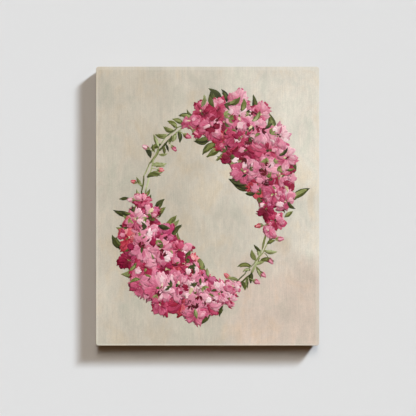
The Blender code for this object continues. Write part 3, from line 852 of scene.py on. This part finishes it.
    def leaf(self, foot, way, length, green):
        """Paints a leaf with two or three loose dabs, the one towards the light paler."""
        tones, dice = GREENS[green], self.dice
        step = heading(way)
        side = quarter_turn(step)
        side = side if side.sum() > 0 else -side
        bow = dice.uniform(-0.16, 0.16)
        half = length * dice.uniform(0.14, 0.22)
        tip = foot + step * length
        self.stroke(foot, tip, half, self.pair(tones[:2], tones[:3]), self.pick(tones), "leaf", bow,
                    thick=0.8)
        for aside, wide, palette in ((-0.3, 0.4, tones[:2]), (0.3, 0.5, tones[2:])):
            if dice.random() < 0.75:
                near, far = dice.uniform(0.0, 0.35), dice.uniform(0.05, 0.4)
                self.stroke(foot + step * length * near + side * half * aside,
                            tip - step * length * far + side * half * aside * 0.6, half * wide,
                            self.pair(palette, tones[1:3]), self.pick(palette), "dry", bow, thick=0.8)

    def bud(self, foot, way, length, tone):
        """Paints a closed bud: two dabs of pink in a green cup."""
        mixes, step = TONES[tone], heading(way)
        side = quarter_turn(step)
        self.stroke(foot, foot + step * length, length * 0.36, self.pair(mixes[1:3]), self.pick(mixes[:2]),
                    "filbert", bow=0.0, thick=0.9)
        self.stroke(foot + step * length * 0.3, foot + step * length * 0.95 + side, length * 0.16,
                    self.pair(mixes[2:4], mixes[3:]), self.pick(mixes[3:]), "dry", bow=-0.08,
                    thick=0.8)
        for sign in (-1, 1):
            self.stroke(foot - step * length * 0.15, foot + step * length * 0.4 + side * sign * length * 0.16,
                        length * 0.12, self.pair(GREENS["olive"]), self.pick(GREENS["sage"]), "leaf",
                        bow=0.1 * sign, thick=0.8)

    def blossom(self, middle, radius, tone, lift):
        """Paints an open blossom of five loose petals: broad dabs of changing mixes over darker paint."""
        dice = self.dice
        # It is seen somewhat from the side, as an oval squashed along a tilted line
        turn, squash, tilt = dice.uniform(0, math.tau), dice.uniform(0.66, 1.0), dice.uniform(0, math.pi)
        c, s = math.cos(tilt), math.sin(tilt)
        lean = np.array([[c, -s], [s, c]]) @ np.diag([1, squash]) @ np.array([[c, s], [-s, c]])
        shift = dice.uniform(-0.15, 0.15, 2)

        def at(angle, reach):
            """A place on the blossom, by its angle and its share of the way out."""
            return middle + lean @ (heading(angle) * reach + shift * (1 - reach)) * radius

        def mix(level, name=tone):
            """A colour between the five of a mix, at about a level from 0, dark, to 4, pale."""
            level = np.clip(level + dice.normal(0, 0.3), 0, 3.99)
            k = int(level)
            low, high = (np.array(linear(code)) for code in TONES[name][k:k + 2])
            return low * (k + 1 - level) + high * (level - k)

        petals = [turn + k * math.tau / 5 + dice.uniform(-0.24, 0.24) for k in range(5)]
        longs = dice.uniform(0.8, 1.1, 5)
        order = dice.permutation(5)
        for k in order:
            self.stroke(at(petals[k] + dice.uniform(-0.3, 0.3), 1.04 * longs[k]), at(petals[k], 0.05),
                        radius * 0.36, (mix(1.0), mix(0.4)), mix(1.6), "dry",
                        bow=dice.uniform(-0.15, 0.15), thick=0.8)
        for k in order:
            angle, long = petals[k], longs[k]
            own = LIKE[tone] if dice.random() < 0.3 else tone
            # The light comes from the upper right
            facing = 0.55 * math.cos(angle - math.pi / 4) + dice.uniform(-0.5, 0.5)
            level = 2.0 + lift + facing
            for j in dice.permutation((-0.6, 0.4) if dice.random() < 0.7 else (-0.8, 0.0, 0.7)):
                j = j + dice.uniform(-0.2, 0.2)
                self.stroke(at(angle + 0.5 * j, long * (dice.uniform(0.86, 1.02) - 0.1 * j * j)),
                            at(angle + 0.25 * j, dice.uniform(0.08, 0.35)), radius * dice.uniform(0.2, 0.33),
                            (mix(level + 0.3, own), mix(level - 0.9, own)),
                            mix(level + dice.choice((-0.9, 0.9)), own),
                            "filbert" if dice.random() < 0.5 else "dry",
                            bow=dice.uniform(-0.16, 0.16), thick=0.9)
            if facing > dice.uniform(-0.5, 0.5):
                # A highlight near the petal's end
                j, start = dice.uniform(-0.6, 0.6), long * dice.uniform(0.66, 0.95)
                self.stroke(at(angle + 0.5 * j, start),
                            at(angle + 0.5 * j + dice.uniform(-0.5, 0.5), start - 0.36),
                            radius * dice.uniform(0.12, 0.2), (mix(level + 1.2, own), mix(level + 0.6, own)),
                            mix(3.8, own), "dry", bow=dice.uniform(-0.2, 0.2), thick=0.8)
            else:
                # A dark crease towards the blossom's heart
                j = dice.uniform(-0.7, 0.7)
                self.stroke(at(angle + 0.5 * j, long * dice.uniform(0.5, 0.9)), at(angle + 0.3 * j, 0.15),
                            radius * dice.uniform(0.07, 0.13), (mix(1.0, own), mix(0.2)), mix(0.6), "leaf",
                            bow=dice.uniform(-0.15, 0.15), thick=0.8)
        for _ in range(dice.integers(2, 5)):
            angle, reach = dice.uniform(0, math.tau), dice.uniform(0.0, 0.14)
            palette = (GREENS["dark"], GREENS["olive"], CREAMS, TONES["deep"][:2])[dice.integers(4)]
            self.stroke(at(angle, reach), at(angle + 0.5, reach + dice.uniform(0.1, 0.24)),
                        radius * dice.uniform(0.05, 0.09), self.pair(palette), self.pick(palette), "dry",
                        bow=0.0, thick=0.9)


# The picture that the painting steps share; the first of them begins it
painting = None
# The two dense bunches: middle of each along the oval, in degrees, and half its length
BUNCHES = ((228.0, 46.0), (44.0, 44.0))
# How fast a bunch narrows towards its ends
NARROWING = 0.85
# Blossoms are painted this much larger than their rows say, so that they overlap
SWELL = 1.12
# Blossoms: degrees along the oval, millimetres outwards, radius in millimetres, tone
LOWER_BLOSSOMS = (
    (176, 4, 15, "rose"), (184, -14, 17, "deep"), (188, 14, 19, "pink"), (196, -2, 22, "rose"),
    (199, 34, 19, "coral"), (203, -32, 20, "deep"), (206, 12, 24, "pale"), (211, 46, 19, "deep"),
    (213, -16, 24, "pink"), (219, 24, 26, "rose"), (222, -44, 20, "rose"), (226, 52, 20, "pink"),
    (229, -10, 26, "deep"), (233, 28, 26, "pale"), (237, -36, 22, "coral"), (242, 50, 20, "rose"),
    (244, 4, 26, "pink"), (250, -26, 22, "rose"), (252, 30, 24, "coral"), (259, 2, 25, "pale"),
    (263, 42, 19, "pink"), (267, -20, 21, "deep"), (271, 20, 22, "rose"), (280, 0, 20, "pink"),
    (286, 18, 16, "rose"), (292, 2, 14, "pink"),
)
UPPER_BLOSSOMS = (
    (106, 2, 14, "pink"), (99, -10, 17, "rose"), (94, 14, 19, "deep"), (86, -16, 21, "pink"),
    (82, 20, 21, "rose"), (76, -2, 24, "deep"), (72, 44, 19, "pink"), (68, -34, 21, "coral"),
    (66, 20, 26, "pale"), (58, -12, 25, "rose"), (57, 48, 21, "rose"), (52, 22, 26, "pink"),
    (49, -42, 20, "deep"), (43, -16, 25, "deep"), (41, 48, 20, "pale"), (37, 16, 27, "rose"),
    (31, -38, 21, "pink"), (28, 40, 21, "pink"), (26, -6, 25, "pale"), (18, 20, 23, "rose"),
    (15, -24, 20, "coral"), (8, 2, 22, "pink"), (3, 24, 18, "pale"), (357, -12, 17, "deep"),
    (350, 8, 16, "rose"), (343, 0, 13, "pink"),
)
# Small touches in front of a bunch: palette, how many, half width as a share of the length, outline
TOUCHES = (
    (DARKS, 22, 0.16, "leaf"), (TONES["pale"][2:], 8, 0.55, "dry"), (TONES["pink"][2:4], 10, 0.6, "dry"),
    (TONES["deep"][1:3], 9, 0.5, "dry"), (GREENS["dark"], 15, 0.16, "leaf"),
    (GREENS["olive"][1:], 14, 0.16, "leaf"), (CREAMS[:2], 2, 0.25, "dry"),
)
# Buds: degrees along the oval
BUD_PLACES = (108, 118, 130, 142, 154, 166, 176, 296, 306, 316, 328, 338, 348)


class CANVAS_OT_foliage(Operator):
    """Paints the garland's twigs and the leaves that lie behind the blossoms"""

    bl_idname = "canvas.foliage"
    bl_label = "Painted foliage"

    def execute(self, context):
        global painting
        painting = Painting(context.scene.canvas_paint)
        dice = painting.dice
        # Two twigs sway round the oval and cross each other
        for sway, first, half in ((5.0, 0, 1.9), (-4.0, 7, 1.3)):
            for degrees in np.arange(first, first + 360, 10):
                start, end = (
                    painting.oval(turn, sway * math.sin(math.radians(turn) * 5) + dice.uniform(-1, 1))[0]
                    for turn in (degrees, degrees + 11))
                green = GREENS[dice.choice(list(GREENS))]
                painting.stroke(start, end, half * dice.uniform(0.7, 1.3), painting.pair(green),
                                painting.pick(GREENS["sage"]), "line", bow=0.03, thick=0.9)
        for degrees in np.arange(0, 360, 4.5):
            near = min(abs((degrees - middle + 180) % 360 - 180) / half for middle, half in BUNCHES)
            deep = near < 1
            for side in (-1, 1):
                if not deep and dice.random() < 0.3:
                    continue
                out = side * (dice.uniform(10, 44) if deep else dice.uniform(1, 5))
                foot, outwards = painting.oval(degrees + dice.uniform(-2, 2), out)
                # All leaves point along the oval, from the lower right towards the upper left
                turned = 136 < degrees < 316
                along = outwards + math.pi / 2 + math.pi * turned
                way = along - side * dice.uniform(0.4, 1.3) * (-1 if turned else 1)
                green = dice.choice(list(GREENS), p=[0.5, 0.4, 0.1] if deep else [0.2, 0.45, 0.35])
                painting.leaf(foot, way, dice.uniform(24, 38) if deep else dice.uniform(15, 27), green)
        painting.finish_piece("painted_foliage")
        return {"FINISHED"}


class CANVAS_OT_petal_mass(Operator):
    """Paints the loose mass of dark and rosy petals that fills each bunch behind its blossoms"""

    bl_idname = "canvas.petal_mass"
    bl_label = "Painted petal mass"

    def execute(self, context):
        dice = painting.dice
        count = 120
        for middle, half in BUNCHES:
            for i in range(count):
                t = dice.uniform(-1, 1)
                wide = 52 * math.sqrt(1 - t * t * NARROWING)
                place, _ = painting.oval(middle + t * half, dice.uniform(-1, 1) * wide)
                way = dice.uniform(0, math.tau)
                length = dice.uniform(13, 22)
                step = heading(way) * length
                tones = DARKS + TONES[dice.choice(["deep", "rose", "coral"], p=[0.55, 0.3, 0.15])]
                # The first half of the strokes is the darker one
                palette = tones[:4] if i < count / 2 else tones[2:6]
                painting.stroke(place - step / 2, place + step / 2, length * dice.uniform(0.24, 0.36),
                                painting.pair(palette), painting.pick(tones[1:5]), "dry",
                                bow=dice.uniform(-0.1, 0.1), thick=0.9)
        painting.finish_piece("painted_petal_mass")
        return {"FINISHED"}


class CANVAS_OT_blossoms(Operator):
    """Paints the open blossoms of both bunches, dark ones first"""

    bl_idname = "canvas.blossoms"
    bl_label = "Painted blossoms"

    def execute(self, context):
        order = ["deep", "coral", "rose", "pink", "pale"]
        for name, rows, (centre, _) in zip(("painted_blossoms_lower", "painted_blossoms_upper"),
                                           (LOWER_BLOSSOMS, UPPER_BLOSSOMS), BUNCHES):
            middle, _ = painting.oval(centre)
            for degrees, out, radius, tone in sorted(rows, key=lambda row: order.index(row[3])):
                place, _ = painting.oval(degrees, out)
                # Paler towards the upper right of its bunch
                lift = np.clip((place - middle).sum() / 110, -0.6, 0.6)
                painting.blossom(place, radius * SWELL, tone, lift)
            painting.finish_piece(name)
        return {"FINISHED"}


class CANVAS_OT_sprigs(Operator):
    """Paints the buds and the sprigs of small leaves that lie in front"""

    bl_idname = "canvas.sprigs"
    bl_label = "Painted sprigs"

    def execute(self, context):
        dice = painting.dice
        for middle, half in BUNCHES:
            for t in np.linspace(-1.15, 1.15, 12):
                side = 1 if dice.random() < 0.6 else -1
                out = side * dice.uniform(30, 46) * (1 - 0.35 * abs(t))
                foot, outwards = painting.oval(middle + t * half, out)
                way = outwards + (0 if side > 0 else math.pi) + dice.uniform(-0.8, 0.8)
                painting.leaf(foot, way, dice.uniform(15, 25), dice.choice(list(GREENS)))
            for palette, count, wide, outline in TOUCHES:
                for _ in range(count):
                    t = dice.uniform(-1, 1)
                    place, _ = painting.oval(middle + t * half,
                                             dice.uniform(-46, 46) * math.sqrt(1 - t * t * NARROWING))
                    way, length = dice.uniform(0, math.tau), dice.uniform(8, 15)
                    # Some of the leaf shapes come as a fan of three
                    for turn in ((0, 0.7, -0.6) if outline == "leaf" and dice.random() < 0.5 else (0,)):
                        step = heading(way + turn) * length * dice.uniform(0.7, 1)
                        painting.stroke(place, place + step, length * wide * dice.uniform(0.7, 1.3),
                                        painting.pair(palette), painting.pick(palette), outline,
                                        bow=dice.uniform(-0.2, 0.2), thick=0.9)
        for degrees in BUD_PLACES:
            side = 1 if dice.random() < 0.6 else -1
            foot, outwards = painting.oval(degrees, side * 4)
            way = outwards + (0 if side > 0 else math.pi) + dice.uniform(-0.5, 0.5)
            stalk = 12
            top = foot + heading(way) * stalk
            painting.stroke(foot, top, 0.8, painting.pair(GREENS["olive"], GREENS["sage"]),
                            painting.pick(GREENS["sage"]), "line", bow=0.08, thick=0.9)
            painting.bud(top, way, dice.uniform(10, 15), dice.choice(["rose", "pink", "coral", "pale"]))
        painting.finish_piece("painted_sprigs")
        return {"FINISHED"}


class CANVAS_OT_frame_wood(Operator):
    """Gives the stretcher bars and the corner keys their wood"""

    bl_idname = "canvas.frame_wood"
    bl_label = "Frame wood"

    def execute(self, context):
        s = context.scene.canvas_frame
        for start, name, tones, ways in (
                ("bar_", "pine_planed", (s.pine, s.pine_line, s.pine_knot),
                 (("top", "bottom"), ("left", "right"))),
                ("key_", "beech_sawn", (s.beech, s.beech_fleck, s.beech_fleck), (("across",), ("up",)))):
            for lie, along, ends in zip(("level", "upright"), "XZ", ways):
                finish = wood_material(f"{name}_{lie}_grain", *tones, along)
                finish_nodes({(start, end): finish for end in ends})
        return {"FINISHED"}


class CANVAS_OT_fixings(Operator):
    """Gives the staples, the hanger, its nails and the bumpers their finishes"""

    bl_idname = "canvas.fixings"
    bl_label = "Fixings"

    def execute(self, context):
        s = context.scene.canvas_frame
        finish_nodes({
            ("staple_", ""): metal_material("galvanised_wire", s.zinc, rough=0.34, patch=1.2, uneven=0.25),
            ("sawtooth_", ""): metal_material("zinc_plated_sheet", s.hanger, rough=0.26, patch=4, uneven=0.2),
            ("hanger_", ""): metal_material("brass_plated_nail", s.brass, rough=0.24, patch=1, uneven=0.2),
            ("bumper_", ""): rubber_material(s.rubber, s.dust),
        })
        return {"FINISHED"}


def shine(name, light, strength):
    """Names the lamp just added, and gives it a share of light as its colour and its power."""
    lamp = bpy.context.object
    lamp.name = name
    brightest = max(light[:3])
    lamp.data.energy = brightest * strength
    lamp.data.color = [part / brightest for part in light[:3]]
    return lamp


def sun(name, way, light, spread):
    """A lamp like the sun that gives its share of light to a surface that faces it."""
    direction = Vector(way).normalized()
    bpy.ops.object.light_add(type="SUN", location=-direction * 3)
    lamp = shine(name, light, math.pi)
    lamp.rotation_euler = direction.to_track_quat("-Z", "Y").to_euler()
    lamp.data.angle = math.radians(spread)


def softbox(name, place, light, long, wide, roll):
    """A soft oval lamp, parallel to the wall, that lights the whole wall evenly with its share."""
    bpy.ops.object.light_add(type="AREA", location=place, rotation=(math.pi / 2, math.radians(-roll), 0))
    lamp = shine(name, light, math.pi ** 2 / (WALL - place[1]) ** 2)
    lamp.visible_camera = False
    lamp.data.shape = "ELLIPSE"
    lamp.data.size = long
    lamp.data.size_y = wide
    lamp.data.use_nodes = True
    tree = lamp.data.node_tree
    # Light thins with distance squared, and again as it leaves and lands aslant: all is undone
    far = add(tree, "LightFalloff", 1.0).outputs["Constant"]
    ray = add(tree, "LightPath").outputs["Ray Length"]
    once = add(tree, "Math", far, ray, operation="MULTIPLY")
    even = add(tree, "Math", once, ray, operation="MULTIPLY")
    feed(tree.nodes["Emission"], Strength=even)


def backdrop(name, finish, place, turn, wide, high):
    """A flat of the stage, which throws no light or shade on the object."""
    bpy.ops.mesh.primitive_plane_add(size=1, location=place, rotation=(turn, 0, 0))
    plane = bpy.context.object
    plane.name = name
    plane.scale = (wide, high, 1)
    plane.data.materials.append(finish)
    plane.visible_shadow = False
    plane.visible_diffuse = False
    plane.visible_glossy = False


class CANVAS_OT_stage(Operator):
    """Sets up the wall, the floor, the light and the camera"""

    bl_idname = "canvas.stage"
    bl_label = "Wall, light and camera"

    def execute(self, context):
        s = context.scene.canvas_stage
        wipe_selection()
        paint, tree, shader = new_material("matt_wall_paint")
        place = add(tree, "TexCoord").outputs["Object"]
        mottle = add(tree, "TexNoise", place, Scale=12.0, Detail=2.0)
        shade = add(tree, "MapRange", mottle, 0.3, 0.7, 0.997, 1.003)
        tone = add(tree, "VectorMath", s.wall[:3], shade, operation="SCALE")
        feed(shader, Base_Color=tone, Roughness=1.0, Specular_IOR_Level=0.0)
        # Seen from behind, the wall is left out, so that the picture's back shows
        behind = add(tree, "NewGeometry").outputs["Backfacing"]
        either = add(tree, "MixShader", behind, shader, add(tree, "BsdfTransparent"))
        feed(tree.nodes["Material Output"], Surface=either)
        # No lamp reaches the floor evenly, so it glows a little to stay pale
        pale = paint.copy()
        pale.name = "matt_pale_floor"
        feed(pale.node_tree.nodes["Principled BSDF"], Emission_Color=s.wall, Emission_Strength=0.6)
        backdrop("wall", paint, (0, WALL + 0.0003, MIDDLE), turn=math.pi / 2, wide=7, high=5)
        backdrop("floor", pale, (0, -1.5, -1.3), turn=0, wide=7, high=6)
        softbox("key_light", (1.38, WALL - 1.7, 1.634), s.key, long=1.17, wide=0.3, roll=43)
        softbox("fill_light", (0.05, WALL - 4.0, 2.16), s.fill, long=1.2, wide=2.05, roll=0)
        # Both come from behind the wall, for views of the back, and leave the front as it is
        sun("back_light", (0.25, -1.0, -0.45), s.back, spread=25)
        sun("side_light", (1.0, -0.3, -0.25), s.side, spread=40)
        # The camera sees a room as pale as the wall, and the object is lit by the room's own share
        world = bpy.data.worlds.new("pale_room")
        world.use_nodes = True
        sky = world.node_tree
        sky.nodes.clear()
        felt, seen = (add(sky, "Background", light, 1.0) for light in (s.room, s.wall))
        ray = add(sky, "LightPath").outputs["Is Camera Ray"]
        add(sky, "OutputWorld", add(sky, "MixShader", ray, felt, seen))
        context.scene.world = world
        bpy.ops.object.camera_add(location=(CAMERA_ASIDE, FRONT - s.distance, CAMERA_HEIGHT),
                                  rotation=(math.pi / 2, 0, 0))
        camera = context.object
        camera.name = "camera"
        camera.data.lens = 85
        camera.data.sensor_width = 36
        context.scene.camera = camera
        context.scene.view_settings.view_transform = "Standard"
        return {"FINISHED"}


STEPS = (CANVAS_OT_cover, CANVAS_OT_corner_folds, CANVAS_OT_loose_threads, CANVAS_OT_foliage,
         CANVAS_OT_petal_mass, CANVAS_OT_blossoms, CANVAS_OT_sprigs, CANVAS_OT_frame_wood, CANVAS_OT_fixings,
         CANVAS_OT_stage)


class CANVAS_PT_panel(Panel):
    """Lists the settings and the steps"""

    bl_label = "Canvas"
    bl_idname = "CANVAS_PT_panel"
    bl_space_type = "VIEW_3D"
    bl_region_type = "UI"
    bl_category = "Canvas"

    def draw(self, context):
        for key, group in SETTINGS.items():
            box = self.layout.box()
            for name in group.__annotations__:
                box.prop(getattr(context.scene, key), name)
        for step in STEPS:
            self.layout.operator(step.bl_idname)


CLASSES = (*SETTINGS.values(), *STEPS, CANVAS_PT_panel)


def register():
    """Makes the settings, the steps and the panel known to Blender."""
    for kind in CLASSES:
        bpy.utils.register_class(kind)
    for key, group in SETTINGS.items():
        setattr(bpy.types.Scene, key, PointerProperty(type=group))


def unregister():
    """Takes them out again."""
    for key in SETTINGS:
        delattr(bpy.types.Scene, key)
    for kind in reversed(CLASSES):
        bpy.utils.unregister_class(kind)


def main():
    register()
    for step in STEPS:
        family, name = step.bl_idname.split(".")
        getattr(getattr(bpy.ops, family), name)()


if __name__ == "__main__":
    main()
